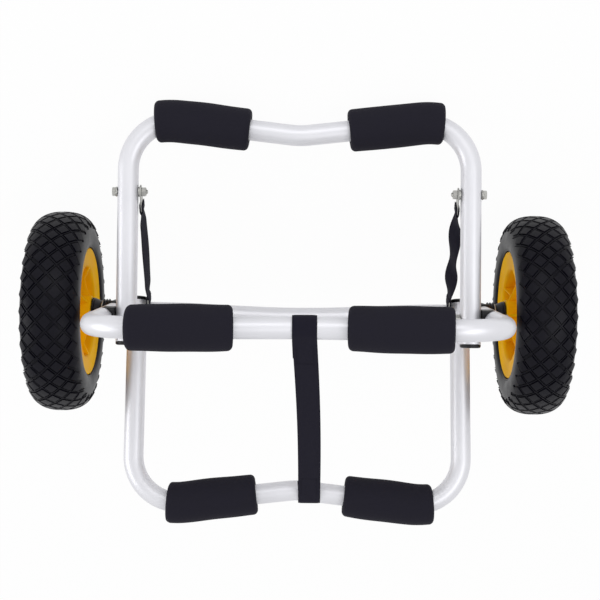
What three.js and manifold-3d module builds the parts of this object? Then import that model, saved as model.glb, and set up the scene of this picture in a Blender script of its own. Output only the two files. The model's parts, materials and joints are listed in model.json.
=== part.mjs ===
// Folding kayak cart: three padded tube frames on two tyred wheels.
// The main frame stands on the axle and carries one padded cradle bar. The rear arm turns on the axle and
// carries the other cradle bar. The stand turns on the main frame's legs and props the cart on the ground.
// Webbing holds the arm and the stand open. Millimetres, +Z up, +X to the right, the stand on the +Y side.
import * as THREE from "three";
import { mergeVertices } from "three/addons/utils/BufferGeometryUtils.js";
import Module from "manifold-3d";

const wasm = await Module();
wasm.setup();

const degrees = Math.PI / 180;

// Clearances
const gap = 0.3; // between pieces that touch
const slip = 0.35; // radial, between a pin and its hole
const overrun = 2; // how far a cutter passes a face

// Frame tubes
const tubeRadius = 12.5;
const tubeWall = 1.8;
const bendRadius = 58; // centreline of the two corner bends
const dipRadius = 90; // centreline of the shallow bend in the middle of each bar
const barDip = 16; // how far the middle of a bar lies below its crests
const foldSpread = 413; // between the leg axes of the rear arm and of the stand
const legRoom = 2.2; // between a main leg and the leg that folds beside it
const tubeSides = 12;
const boreSides = 8;
const cornerSteps = 5;

// Main frame, measured along its legs from the axle
const mainCrest = 246;
const mainFoot = 14; // tube below the axle
const mainLean = 3.5 * degrees;

// Rear arm, measured along its legs from the axle
const armCrest = 241;
const armTail = 14.5;
const armAngle = 81.8 * degrees;

// Stand, measured along its legs from its hinge on the main legs
const standHinge = 103; // above the axle, along the main legs
const standCrest = 237.2;
const standTail = 28.1;
const standAngle = -91.7 * degrees;

// Foam sleeves
const mainPadLength = 116;
const foldPadLength = 110; // of the arm's and the stand's sleeves
const padRadius = 25.5;
const padCrown = 0.7;
const padRound = 7; // edge radius at both ends
const padSides = 14;
const mainPadInsets = [103.7, 120.2]; // of each sleeve's middle from the axis of its leg, along the bar
const standPadInsets = [91, 92];
const armPadInsets = [100.5, 92.5];

// End caps of the arm and the stand
const capRim = 4.5;
const capPlug = 7;
const capEdge = 1.2;

// Axle
const pinRadius = 6;
const pinInset = 46; // of each pin inside the axle tube
const axleTubeRadius = 12.5;
const axleBow = 5.8; // of the axle tube's middle, away from the stand
const axleTubeSteps = 8;

// Axle blocks at the feet of the main legs
const blockWall = 1.9;
const blockSleeve = 26; // above the axle
const blockFloor = 4; // below the tube's foot
const bossReach = 16; // outwards from the leg's axis
const bossRadius = 13;
const ribHeight = 3;
const ribCount = 3;
const ribShare = 0.5; // of the ribs' pitch

// Saddles between the main legs and the stand's legs
const saddleDepth = 26; // along the stand's legs
const saddleTall = 33; // along the main legs
const saddleRound = 4;

// Hinge bolts of the stand, and bolts of its side straps
const hingeBoltRadius = 4;
const hingeHeadAcross = 13;
const hingeHeadHeight = 5.3;
const strapBoltRadius = 3;
const strapHeadAcross = 10;
const strapHeadHeight = 4;
const strapBoltPlace = 151.5; // along the stand's legs from the hinge
const strapBoltTip = 1.5; // past the nut
const washerThick = 1.6;
const washerRimShare = 1.2; // of half the head's width across flats
const nutShare = 0.9; // nut's height to its bolt's diameter
const hexSides = 6;
const roundSides = 14;
const ringSides = 5; // of a bent wire's section

// Side straps, and the tabs on which they pull
const sideStrapWidth = 20;
const sideStrapThick = 1.5;
const tabThick = 1.5;
const tabHalf = 8.5;
const tabReach = 24; // from the bolt or the pin to the tab's far end
const tabLap = 9; // of the tab inside the strap's folded end
const foldEnd = 3; // of the folded end past the tab
const sideStrapSteps = 16;
const sideStrapTurns = { left: 0, right: 1 }; // half turns from one end to the other
const sideStrapWaves = { left: 28 * degrees, right: 0 }; // turn of the middle
const sideStrapBow = 3; // of the middle, inwards

// Centre strap
const centreStrapWidth = 26;
const centreStrapThick = 2;
const mainStrapShare = 158 / 255; // of the bare bar between the sleeves, from its left end
const armStrapShare = 133 / 220;

// Wheels
const wheelRadius = 127;
const tyreWidth = 75;
const wheelSteps = 28;
const treadWall = 8;
const beadWidth = 12;
const rimFlange = 71;
const rimHalf = 36;
const flangeThick = 3;
const barrelRadius = 62;
const barrelWall = 4;
const webHalf = 5;
const hubRadius = 20;
const windowCount = 5;
const windowInner = 28;
const windowOuter = 51;
const windowShare = 0.62; // of a fifth of the turn
const windowRound = 5;
const bushRadius = 10;
const bushFlange = 17.5;
const bushFlangeThick = 3;
const spacerRadius = 17;
const spacerTip = 13.5;
const spacerLength = 8.8;
const outerWasher = 15;
const pinEnd = 15; // of the axle pin past the outer bush
const clipWire = 1.5;
const clipPlace = 8; // from the outer bush to the clip
const clipRing = 13;

// Derived sizes
const tubeBore = tubeRadius - tubeWall;
const foldHalf = foldSpread / 2;
const mainHalf = foldHalf + 2 * tubeRadius + legRoom;
const foldFace = foldHalf + tubeRadius;
const bossFace = mainHalf + bossReach;
const outFace = foldFace + gap;
const nutFace = foldHalf - tubeRadius - gap;
const tabFace = nutFace - washerThick - gap;
const strapNutFace = tabFace - tabThick - gap;
const strapNutHeight = 2 * strapBoltRadius * nutShare;
const strapWasherRim = (strapHeadAcross / 2) * washerRimShare;
const spacerFrom = bossFace + washerThick + 2 * gap;
const spacerTo = spacerFrom + spacerLength;
const hubInner = spacerTo + gap + bushFlangeThick;
const hubOuter = hubInner + 2 * rimHalf;
const wheelMiddle = hubInner + rimHalf;
const padPlaces = (half, insets) => [insets[0] - half, half - insets[1]];
const betweenPads = (half, insets, length, share) => {
  const [left, right] = padPlaces(half, insets);
  return left + length / 2 + share * (right - left - length);
};
const centreStrapPlaces = [
  betweenPads(mainHalf, mainPadInsets, mainPadLength, mainStrapShare),
  betweenPads(foldHalf, armPadInsets, foldPadLength, armStrapShare),
];

// Finishes
const finish = (color, roughness, metalness) =>
  new THREE.MeshStandardMaterial({ color, roughness, metalness });
const silver = finish(0xd4d5db, 0.32, 0.9);
const steel = finish(0xb4b4b0, 0.35, 1);
const foam = finish(0x24232e, 0.9, 0);
const webbing = finish(0x1b1a20, 0.85, 0);
const blackPlastic = finish(0x1e1d22, 0.5, 0);
const tyreRubber = finish(0x2b2a31, 0.75, 0);
const yellowPlastic = finish(0xf2a40c, 0.35, 0);

// A closed geometry as a solid for joins and cuts
function solid(geometry) {
  const plain = (geometry.index ? geometry.toNonIndexed() : geometry.clone());
  const bare = new THREE.BufferGeometry().setAttribute("position", plain.getAttribute("position"));
  const merged = mergeVertices(bare, 1e-3);
  return new wasm.Manifold(
    new wasm.Mesh({
      numProp: 3,
      vertProperties: merged.attributes.position.array,
      triVerts: new Uint32Array(merged.index.array),
    }),
  );
}

function geometryOf(body) {
  const made = body.getMesh();
  return new THREE.BufferGeometry()
    .setAttribute("position", new THREE.BufferAttribute(made.vertProperties, made.numProp))
    .setIndex(new THREE.BufferAttribute(made.triVerts, 1));
}

// A mirrored box is turned right side out again
function turnFaces(geometry) {
  const index = geometry.index.array;
  for (let i = 0; i < index.length; i += 3) [index[i + 1], index[i + 2]] = [index[i + 2], index[i + 1]];
}

const joined = (...parts) => geometryOf(parts.map(solid).reduce((a, b) => a.add(b)));
const without = (body, ...cutters) =>
  geometryOf(cutters.map(solid).reduce((a, b) => a.subtract(b), solid(body)));

function mesh(name, geometry, material, parent) {
  geometry.computeVertexNormals();
  const made = new THREE.Mesh(geometry, material);
  made.name = name;
  parent.add(made);
  return made;
}

// Round bars along X, from one end to the other
function rod(radius, from, to, sides = roundSides, tip = radius) {
  const low = Math.min(from, to);
  const high = Math.max(from, to);
  const [top, bottom] = from < to ? [tip, radius] : [radius, tip];
  return new THREE.CylinderGeometry(top, bottom, high - low, sides)
    .rotateZ(-Math.PI / 2)
    .translate((low + high) / 2, 0, 0);
}

// A round bar along Z
const post = (radius, low, high, sides = roundSides) =>
  new THREE.CylinderGeometry(radius, radius, high - low, sides)
    .rotateX(Math.PI / 2)
    .translate(0, 0, (low + high) / 2);

const block = (width, depth, height) => new THREE.BoxGeometry(width, depth, height);

// A profile of [radius, place along X] corners, turned about the X axis
function turned(corners, sides) {
  const ring = [...corners, corners[0]].map(([radius, place]) => new THREE.Vector2(radius, place));
  return new THREE.LatheGeometry(ring, sides).rotateZ(-Math.PI / 2);
}

function washer(hole, rim, from, to) {
  const [low, high] = [Math.min(from, to), Math.max(from, to)];
  return turned([[hole, low], [rim, low], [rim, high], [hole, high]], roundSides);
}

// The centreline of a bent frame in its own XZ plane, by the length s from the middle of its bar
function framePath(half, crest, foot) {
  const run = half - bendRadius;
  const drop = bendRadius + dipRadius - barDip;
  const reach = Math.hypot(run, drop);
  const slope = Math.asin((bendRadius + dipRadius) / reach) - Math.atan2(drop, run);
  const straight = Math.sqrt(reach ** 2 - (bendRadius + dipRadius) ** 2);
  const dipArc = dipRadius * slope;
  const cornerArc = bendRadius * (Math.PI / 2 + slope);
  const leg = crest - bendRadius + foot;
  const bottom = crest - barDip;
  const cornerStart = dipArc + straight;
  const legStart = cornerStart + cornerArc;

  function right(s) {
    if (s <= dipArc) {
      const turn = s / dipRadius;
      return [dipRadius * Math.sin(turn), bottom + dipRadius * (1 - Math.cos(turn)), turn];
    }
    if (s <= cornerStart) {
      const on = s - dipArc;
      const x = dipRadius * Math.sin(slope) + on * Math.cos(slope);
      return [x, bottom + dipRadius * (1 - Math.cos(slope)) + on * Math.sin(slope), slope];
    }
    if (s <= legStart) {
      const turn = slope - (s - cornerStart) / bendRadius;
      return [run - bendRadius * Math.sin(turn), crest - bendRadius + bendRadius * Math.cos(turn), turn];
    }
    return [half, crest - bendRadius - (s - legStart), -Math.PI / 2];
  }

  function at(s) {
    const [x, z, turn] = right(Math.abs(s));
    const side = s < 0 ? -1 : 1;
    return {
      point: new THREE.Vector3(side * x, 0, z),
      tangent: new THREE.Vector3(Math.cos(turn), 0, side * Math.sin(turn)),
    };
  }

  const halfStations = [0, dipArc / 2, dipArc];
  for (let i = 0; i <= cornerSteps; i++) halfStations.push(cornerStart + (cornerArc * i) / cornerSteps);
  halfStations.push(legStart + leg);
  const stations = [...halfStations.slice(1).reverse().map((s) => -s), ...halfStations];
  return { at, stations, end: legStart + leg };
}

// A path that an extrusion follows through chosen stations, with no others in between
class StationPath extends THREE.Curve {
  constructor(places) {
    super();
    this.places = places;
  }
  place(u) {
    return this.places[Math.round(u * (this.places.length - 1))];
  }
  getPoint(u) {
    return this.place(u).point.clone();
  }
  getPointAt(u) {
    return this.getPoint(u);
  }
  getTangentAt(u) {
    return this.place(u).tangent.clone();
  }
}

function sweep(shape, places) {
  return new THREE.ExtrudeGeometry(shape, {
    steps: places.length - 1,
    extrudePath: new StationPath(places),
    bevelEnabled: false,
  });
}

const polygon = (radius, count) =>
  Array.from({ length: count }, (_, i) => {
    const turn = (2 * Math.PI * i) / count;
    return new THREE.Vector2(radius * Math.cos(turn), radius * Math.sin(turn));
  });

function disc(radius, bore = 0) {
  const shape = new THREE.Shape(polygon(radius, tubeSides));
  if (bore) shape.holes.push(new THREE.Path(polygon(bore, boreSides).reverse()));
  return shape;
}

// Frame tubes
const frameTube = (path, radius = tubeRadius, bore = tubeBore) =>
  sweep(disc(radius, bore), path.stations.map(path.at));

function crossHole(radius, at, half) {
  const reach = tubeRadius + overrun;
  return [-1, 1].map((side) =>
    rod(radius + slip, side * (half - reach), side * (half + reach)).translate(0, 0, at));
}

// Foam sleeves: a turned profile bent along the tube, less the tube itself
function padProfile(length) {
  const half = length / 2;
  const shoulder = padRadius - padRound;
  const corner = (end) => [
    [shoulder + padRound * Math.SQRT1_2, end * (half - padRound * (1 - Math.SQRT1_2))],
    [padRadius, end * (half - padRound)],
  ];
  const crown = [[padRadius + padCrown, -half / 3], [padRadius + padCrown, half / 3]];
  const low = [[0, -half], [shoulder, -half], ...corner(-1)];
  return [...low, ...crown, ...corner(1).reverse(), [shoulder, half], [0, half]];
}

// A turned solid bent along a frame's tube, with its bore
function sleeve(profile, path, middle) {
  const points = profile.map(([radius, along]) => new THREE.Vector2(radius, along));
  const geometry = new THREE.LatheGeometry(points, padSides);
  const position = geometry.attributes.position;
  for (let i = 0; i < position.count; i++) {
    const { point, tangent } = path.at(middle + position.getY(i));
    const x = position.getX(i);
    position.setXYZ(i, point.x - tangent.z * x, position.getZ(i), point.z + tangent.x * x);
  }
  return without(geometry, frameTube(path, tubeRadius + gap, 0));
}

function addPads(name, path, length, places, parent) {
  mesh(name + "_pad_left", sleeve(padProfile(length), path, places[0]), foam, parent);
  mesh(name + "_pad_right", sleeve(padProfile(length), path, places[1]), foam, parent);
}

// Plugs that close the lower ends of the arm's and the stand's legs
function endCap(tail) {
  const top = -tail - gap;
  const low = top - capRim;
  const edge = post(tubeRadius - capEdge, low, low + capEdge);
  const plug = tubeBore * Math.cos(Math.PI / boreSides) - gap;
  return joined(post(tubeRadius, low + capEdge, top), edge, post(plug, top - gap, -tail + capPlug));
}

const sides = { left: -1, right: 1 };

// Bolts along X, with the head on the outside
function hexBolt(radius, across, headHeight, head, tip) {
  const outward = Math.sign(head - tip);
  const corner = across / 2 / Math.cos(Math.PI / hexSides);
  const top = rod(corner, head, head + outward * headHeight, hexSides);
  return joined(top, rod(radius, head + outward * gap, tip));
}

function hexNut(radius, across, from, to) {
  const corner = across / 2 / Math.cos(Math.PI / hexSides);
  const cutter = rod(radius + gap, Math.min(from, to) - overrun, Math.max(from, to) + overrun);
  return without(rod(corner, from, to, hexSides), cutter);
}

// The cart's own frame: the axle along X, turned and lifted to stand on its tyres and the stand's sleeves
const cart = new THREE.Group();
const axle = new THREE.Group();
cart.add(axle);
const main = new THREE.Group();
main.rotation.x = mainLean;
axle.add(main);
const arm = new THREE.Group();
arm.rotation.x = armAngle;
axle.add(arm);
const hinge = new THREE.Vector3(0, -standHinge * Math.sin(mainLean), standHinge * Math.cos(mainLean));
const stand = new THREE.Group();
stand.position.copy(hinge);
stand.rotation.x = standAngle;
axle.add(stand);

// Main frame
const mainPath = framePath(mainHalf, mainCrest, mainFoot);
const mainHoles = [
  ...crossHole(pinRadius, 0, mainHalf),
  ...crossHole(hingeBoltRadius, standHinge, mainHalf),
];
mesh("main_tube", without(frameTube(mainPath), ...mainHoles), silver, main);
addPads("main", mainPath, mainPadLength, padPlaces(mainHalf, mainPadInsets), main);

// Rear arm
const armPath = framePath(foldHalf, armCrest, armTail);
mesh("arm_tube", without(frameTube(armPath), ...crossHole(pinRadius, 0, foldHalf)), silver, arm);
addPads("arm", armPath, foldPadLength, padPlaces(foldHalf, armPadInsets), arm);

// Stand
const standPath = framePath(foldHalf, standCrest, standTail);
const standHoles = [
  ...crossHole(hingeBoltRadius, 0, foldHalf),
  ...crossHole(strapBoltRadius, strapBoltPlace, foldHalf),
];
mesh("stand_tube", without(frameTube(standPath), ...standHoles), silver, stand);
addPads("stand", standPath, foldPadLength, padPlaces(foldHalf, standPadInsets), stand);

for (const [name, side] of Object.entries(sides)) {
  mesh("arm_cap_" + name, endCap(armTail).translate(side * foldHalf, 0, 0), blackPlastic, arm);
  mesh("stand_cap_" + name, endCap(standTail).translate(side * foldHalf, 0, 0), blackPlastic, stand);
}

// Axle blocks: a sleeve over each main leg's foot, with a ribbed boss that the axle pin runs through
function axleBlock(side) {
  const outer = tubeRadius + gap + blockWall;
  const low = -mainFoot - gap - blockFloor;
  const sleeve = post(outer, low, blockSleeve).translate(side * mainHalf, 0, 0);
  const boss = rod(bossRadius, side * mainHalf, side * bossFace);
  const ribRoom = bossReach - tubeRadius / 2;
  const pitch = ribRoom / ribCount;
  const ribs = Array.from({ length: ribCount }, (_, i) => {
    const end = bossFace - i * pitch;
    return rod(bossRadius + ribHeight, side * end, side * (end - pitch * ribShare));
  });
  const seat = post(tubeRadius + gap, -mainFoot - gap, blockSleeve + overrun, 2 * roundSides);
  seat.translate(side * mainHalf, 0, 0);
  const bore = rod(pinRadius + slip, side * (mainHalf - outer - overrun), side * (bossFace + overrun));
  const inside = foldFace + gap;
  const trim = block(2 * outer, 2 * outer + overrun, 2 * (blockSleeve + overrun));
  trim.translate(side * (inside - outer), 0, 0);
  return without(joined(sleeve, boss, ...ribs), seat, bore, trim);
}

// Axle pins, tube, washers and spacers
const pinOuter = hubOuter + bushFlangeThick + washerThick + 2 * gap + pinEnd;
const pinInner = foldHalf - tubeRadius - pinInset;
const clipAt = hubOuter + bushFlangeThick + washerThick + 2 * gap + clipPlace;

function axleTube() {
  const half = tabFace - tabThick - gap;
  const places = Array.from({ length: axleTubeSteps + 1 }, (_, i) => {
    const x = half * ((2 * i) / axleTubeSteps - 1);
    const turn = (Math.PI * x) / half;
    const y = (-axleBow * (1 + Math.cos(turn))) / 2;
    const rise = (axleBow * Math.PI * Math.sin(turn)) / 2 / half;
    return { point: new THREE.Vector3(x, y, 0), tangent: new THREE.Vector3(1, rise, 0).normalize() };
  });
  return sweep(disc(axleTubeRadius, pinRadius + slip + gap), places);
}
const pinRooms = Object.values(sides).map((side) =>
  rod(pinRadius + slip, side * foldHalf, side * (pinInner - overrun)));
mesh("axle_tube", without(axleTube(), ...pinRooms), silver, axle);

function axlePin(side) {
  const pin = rod(pinRadius, side * pinInner, side * pinOuter);
  const hole = post(clipWire + gap, -pinRadius - overrun, pinRadius + overrun, hexSides * 2);
  return without(pin, hole.translate(side * clipAt, 0, 0));
}

function clip(side) {
  const wire = post(clipWire, -pinRadius - clipWire * 2, pinRadius + clipWire, hexSides);
  const ring = new THREE.TorusGeometry(clipRing, clipWire, ringSides, roundSides);
  ring.rotateY(Math.PI / 2).translate(0, 0, clipRing - pinRadius - clipWire * 2);
  return { wire: wire.translate(side * clipAt, 0, 0), ring: ring.translate(side * clipAt, 0, 0) };
}

for (const [name, side] of Object.entries(sides)) {
  mesh("axle_block_" + name, axleBlock(side), blackPlastic, main);
  mesh("axle_pin_" + name, axlePin(side), steel, axle);
  const washerEnd = bossFace + gap + washerThick;
  const inner = washer(pinRadius + slip, spacerTip, side * (bossFace + gap), side * washerEnd);
  mesh("inner_washer_" + name, inner, steel, axle);
  const cone = rod(spacerTip, side * spacerFrom, side * spacerTo, roundSides, spacerRadius);
  const bore = rod(pinRadius + slip, side * (spacerFrom - overrun), side * (spacerTo + overrun));
  mesh("wheel_spacer_" + name, without(cone, bore), blackPlastic, axle);
  const outerFrom = hubOuter + bushFlangeThick + gap;
  const outer = washer(pinRadius + slip, outerWasher, side * outerFrom, side * (outerFrom + washerThick));
  mesh("outer_washer_" + name, outer, steel, axle);
  const { wire, ring } = clip(side);
  mesh("wheel_clip_" + name, joined(wire, ring), steel, axle);
}

// Saddles: each nests on a main leg, and its flat face lets the stand's leg turn beside it
function saddle(side) {
  const inside = outFace;
  const outside = mainHalf;
  const shape = new THREE.Shape();
  const halfDepth = saddleDepth / 2 - saddleRound;
  const halfTall = saddleTall / 2 - saddleRound;
  shape.absarc(halfDepth, halfTall, saddleRound, 0, Math.PI / 2);
  shape.absarc(-halfDepth, halfTall, saddleRound, Math.PI / 2, Math.PI);
  shape.absarc(-halfDepth, -halfTall, saddleRound, Math.PI, 1.5 * Math.PI);
  shape.absarc(halfDepth, -halfTall, saddleRound, 1.5 * Math.PI, 2 * Math.PI);
  const width = outside - inside;
  const body = new THREE.ExtrudeGeometry(shape, { depth: width, bevelEnabled: false, curveSegments: 3 });
  body.rotateX(Math.PI / 2).rotateZ(Math.PI / 2).translate(side > 0 ? inside : -outside, 0, standHinge);
  const far = saddleTall + overrun;
  const mainLeg = post(tubeRadius + gap, standHinge - far, standHinge + far, 2 * roundSides);
  mainLeg.translate(side * mainHalf, 0, 0);
  const bolt = rod(hingeBoltRadius + slip, side * (inside - overrun), side * (outside + overrun));
  return without(body, mainLeg, bolt.translate(0, 0, standHinge));
}

// Hinge bolts of the stand and their nuts
const hingeHead = mainHalf + tubeRadius + gap;
const hingeNutHeight = 2 * hingeBoltRadius * nutShare;

for (const [name, side] of Object.entries(sides)) {
  mesh("saddle_" + name, saddle(side), blackPlastic, main);
  const tip = nutFace - hingeNutHeight - overrun;
  const bolt = hexBolt(hingeBoltRadius, hingeHeadAcross, hingeHeadHeight, side * hingeHead, side * tip);
  mesh("hinge_bolt_" + name, bolt.translate(0, 0, standHinge), steel, main);
  const nut = hexNut(hingeBoltRadius, hingeHeadAcross, side * nutFace, side * (nutFace - hingeNutHeight));
  mesh("hinge_nut_" + name, nut.translate(0, 0, standHinge), steel, main);
}

// Strap bolts on the stand's legs: a washer and head outside, a washer, a tab and a nut inside
for (const [name, side] of Object.entries(sides)) {
  const hole = strapBoltRadius + slip;
  const ring = washer(hole, strapWasherRim, side * outFace, side * (outFace + washerThick));
  mesh("strap_washer_" + name, ring.translate(0, 0, strapBoltPlace), steel, stand);
  const head = side * (outFace + washerThick + gap);
  const tip = side * (strapNutFace - strapNutHeight - strapBoltTip);
  const bolt = hexBolt(strapBoltRadius, strapHeadAcross, strapHeadHeight, head, tip);
  mesh("strap_bolt_" + name, bolt.translate(0, 0, strapBoltPlace), steel, stand);
  const inner = washer(hole, strapWasherRim, side * nutFace, side * (nutFace - washerThick));
  mesh("tab_washer_" + name, inner.translate(0, 0, strapBoltPlace), steel, stand);
  const nutEnd = side * (strapNutFace - strapNutHeight);
  const nut = hexNut(strapBoltRadius, strapHeadAcross, side * strapNutFace, nutEnd);
  mesh("strap_nut_" + name, nut.translate(0, 0, strapBoltPlace), steel, stand);
}

// The line that each side strap pulls along: +Z from the axle to the strap bolts
const strapBolt = new THREE.Vector3(0, 0, strapBoltPlace).applyEuler(stand.rotation).add(stand.position);
const strapRun = Math.hypot(strapBolt.y, strapBolt.z);
const strapLine = new THREE.Group();
strapLine.rotation.x = Math.atan2(-strapBolt.y, strapBolt.z);
axle.add(strapLine);

// Tabs: a steel plate, round at the end that its bolt or pin runs through
function tab(side, hole) {
  const shape = new THREE.Shape();
  shape.absarc(0, 0, tabHalf, Math.PI, 2 * Math.PI);
  shape.lineTo(tabHalf, tabReach).lineTo(-tabHalf, tabReach);
  shape.holes.push(new THREE.Path().absarc(0, 0, hole + slip, 0, 2 * Math.PI, true));
  const plate = new THREE.ExtrudeGeometry(shape, { depth: tabThick, bevelEnabled: false, curveSegments: 8 });
  plate.rotateX(Math.PI / 2).rotateZ(Math.PI / 2);
  return plate.translate(side > 0 ? tabFace - tabThick : -tabFace, 0, 0);
}

// A side strap: flat webbing, folded and sewn over a tab at each end, twisted and bowed on the way
function sideStrap(name, side) {
  const middle = side * (tabFace - tabThick / 2);
  const low = tabReach;
  const run = strapRun - 2 * tabReach;
  const ribbon = new THREE.BoxGeometry(sideStrapThick, sideStrapWidth, 1, 1, 2, sideStrapSteps);
  const position = ribbon.attributes.position;
  for (let i = 0; i < position.count; i++) {
    const share = position.getZ(i) + 1 / 2;
    const arch = Math.sin(Math.PI * share);
    const turn = Math.PI * sideStrapTurns[name] * share + sideStrapWaves[name] * arch;
    const [x, y] = [position.getX(i), position.getY(i)];
    const across = x * Math.cos(turn) - y * Math.sin(turn);
    const deep = x * Math.sin(turn) + y * Math.cos(turn);
    position.setXYZ(i, middle - side * arch * sideStrapBow + across, deep, low + share * run);
  }
  const thick = tabThick + 2 * (gap + sideStrapThick);
  const ends = [low, low + run].map((at, i) => {
    const reach = i ? -1 : 1;
    const place = at - (reach * (tabLap - foldEnd)) / 2;
    return block(thick, sideStrapWidth, tabLap + foldEnd).translate(middle, 0, place);
  });
  const slots = [low, low + run].map((at, i) => {
    const slot = block(tabThick + 2 * gap, 2 * (tabHalf + gap), 2 * tabLap);
    return slot.translate(middle, 0, at + (i ? 1 : -1) * (tabLap - gap));
  });
  return without(joined(ribbon, ...ends), ...slots);
}

for (const [name, side] of Object.entries(sides)) {
  mesh("side_strap_" + name, sideStrap(name, side), webbing, strapLine);
  const upper = tab(side, strapBoltRadius).rotateX(Math.PI).translate(0, 0, strapRun);
  mesh("stand_tab_" + name, upper, steel, strapLine);
  mesh("axle_tab_" + name, tab(side, pinRadius), steel, strapLine);
  const ring = washer(pinRadius + slip, spacerTip, side * nutFace, side * (nutFace - washerThick));
  mesh("pin_washer_" + name, ring, steel, axle);
}

// Centre strap: a loop round the main bar, one round the arm's bar, and webbing between their far sides
function centreStrap() {
  const outer = tubeRadius + gap + centreStrapThick;
  const half = centreStrapWidth / 2;
  const profile = [[0, -half], [outer, -half], [outer, 0], [outer, half], [0, half]];
  const frames = [[mainPath, main], [armPath, arm]];
  const posed = frames.map(([, group]) =>
    new THREE.Matrix4().makeRotationFromEuler(group.rotation).setPosition(group.position));
  const loops = frames.map(([path], i) =>
    sleeve(profile, path, centreStrapPlaces[i]).applyMatrix4(posed[i]));
  const [from, to] = frames.map(([path], i) => path.at(centreStrapPlaces[i]).point.applyMatrix4(posed[i]));
  const span = to.clone().sub(from);
  const outward = new THREE.Vector3(0, -span.z, span.y).normalize();
  outward.multiplyScalar(Math.sign(outward.z) * (outer - centreStrapThick / 2));
  const run = block(1, centreStrapThick, 1);
  const position = run.attributes.position;
  const up = outward.clone().normalize();
  for (let i = 0; i < position.count; i++) {
    const point = from.clone().addScaledVector(span, position.getZ(i) + 1 / 2).add(outward);
    point.addScaledVector(up, position.getY(i)).setX(point.x + position.getX(i) * centreStrapWidth);
    position.setXYZ(i, point.x, point.y, point.z);
  }
  if (new THREE.Vector3(1, 0, 0).cross(up).dot(span) < 0) turnFaces(run);
  const grooves = frames.map(([path], i) => frameTube(path, tubeRadius + gap, 0).applyMatrix4(posed[i]));
  return without(joined(...loops, run), ...grooves);
}
mesh("centre_strap", centreStrap(), webbing, axle);

// Wheels, each in a group of its own on the axle
const tyreHalf = tyreWidth / 2;
const beadSeat = barrelRadius + gap;
const beadFace = rimHalf - flangeThick - gap;
// The tread's flats lie at the wheel's radius
const wheelCorner = wheelRadius / Math.cos(Math.PI / wheelSteps);
const sectionHeight = wheelCorner - rimFlange;
// Shares of the half width, and of the section's height above the rim's edge
const tyreOutlineShares = [[0.34, 1], [0.62, 0.92], [0.87, 0.76], [1, 0.46], [0.94, 0.04]];
const tyreHollowShares = [[0.4, 1], [0.8, 0.6], [0.62, 0.04]];

function tyre() {
  const outer = tyreOutlineShares.map(([wide, high]) => [rimFlange + high * sectionHeight, wide * tyreHalf]);
  const bead = [[rimFlange + gap, beadFace], [beadSeat, beadFace], [beadSeat, beadFace - beadWidth]];
  const hollowHeight = sectionHeight - treadWall;
  const hollow = tyreHollowShares.map(([wide, high]) => [rimFlange + high * hollowHeight, wide * tyreHalf]);
  const upper = [...outer, ...bead];
  const lower = [...upper].reverse().map(([radius, place]) => [radius, -place]);
  const belly = [...hollow].reverse().concat(hollow.map(([radius, place]) => [radius, -place]));
  return turned([...lower, ...upper, ...belly], wheelSteps);
}

function rim() {
  const barrelIn = barrelRadius - barrelWall;
  const bore = bushRadius + gap;
  const half = [[bore, rimHalf], [hubRadius, rimHalf], [hubRadius, webHalf], [barrelIn, webHalf]];
  half.push([barrelIn, rimHalf], [rimFlange, rimHalf], [rimFlange, rimHalf - flangeThick]);
  half.push([barrelRadius, rimHalf - flangeThick]);
  const lower = half.map(([radius, place]) => [radius, -place]);
  const body = turned([...lower, ...half.reverse()], wheelSteps);
  const windows = Array.from({ length: windowCount }, (_, i) => {
    const turn = (2 * Math.PI * i) / windowCount;
    return rimWindow().rotateX(turn);
  });
  return without(body, ...windows);
}

function rimWindow() {
  const spread = (Math.PI * windowShare) / windowCount;
  const inset = windowRound / windowOuter;
  const shape = new THREE.Shape();
  shape.absarc(0, 0, windowOuter, -spread + inset, spread - inset);
  shape.absarc(0, 0, windowInner, spread - inset, -spread + inset, true);
  const deep = 2 * (webHalf + overrun);
  const cutter = new THREE.ExtrudeGeometry(shape, { depth: deep, bevelEnabled: false, curveSegments: 4 });
  return cutter.rotateY(Math.PI / 2).translate(-deep / 2, 0, 0);
}

function bush(end) {
  const inner = end * (rimHalf / 2);
  const sleeve = rod(bushRadius, inner, end * (rimHalf + gap));
  const flange = rod(bushFlange, end * (rimHalf + gap / 2), end * (rimHalf + bushFlangeThick));
  const bore = rod(pinRadius + slip, inner - end * overrun, end * (rimHalf + bushFlangeThick + overrun));
  return without(joined(sleeve, flange), bore);
}

const wheels = [];
for (const [name, side] of Object.entries(sides)) {
  const wheel = new THREE.Group();
  wheels.push(wheel);
  wheel.position.x = side * wheelMiddle;
  axle.add(wheel);
  mesh("tyre_" + name, tyre(), tyreRubber, wheel);
  mesh("rim_" + name, rim(), yellowPlastic, wheel);
  mesh("inner_bush_" + name, bush(-side), blackPlastic, wheel);
  mesh("outer_bush_" + name, bush(side), blackPlastic, wheel);
}

// Stand the cart up: a flat of each tread and the crests of the stand's sleeves lie on the ground
const crest = new THREE.Vector3(0, 0, standCrest).applyEuler(stand.rotation).add(stand.position);
const crestReach = Math.hypot(crest.y, crest.z);
const padFoot = padRadius + padCrown;
const tilt = Math.acos(-(wheelRadius - padFoot) / crestReach) - Math.atan2(crest.y, crest.z);
axle.rotation.x = -tilt;
for (const wheel of wheels) wheel.rotation.x = tilt + Math.PI / wheelSteps;
const bounds = new THREE.Box3().setFromObject(cart, true);
axle.position.set(0, -(bounds.min.y + bounds.max.y) / 2, -bounds.min.z);

export default cart;
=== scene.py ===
# %% [markdown]
# # A folding kayak cart
# The cart carries a boat on two fat tyres. Three U-shaped tubes hold it up: the main frame and
# the rear arm cradle the hull on foam sleeves, and the stand props the cart on the ground. The
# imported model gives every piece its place, so this lesson only makes the looks: round tubes,
# foam, webbing, tread and finishes.

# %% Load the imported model
import json
from functools import partialmethod
from math import asin, atan2, copysign, cos, hypot, pi, sin, sqrt, tau

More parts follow.
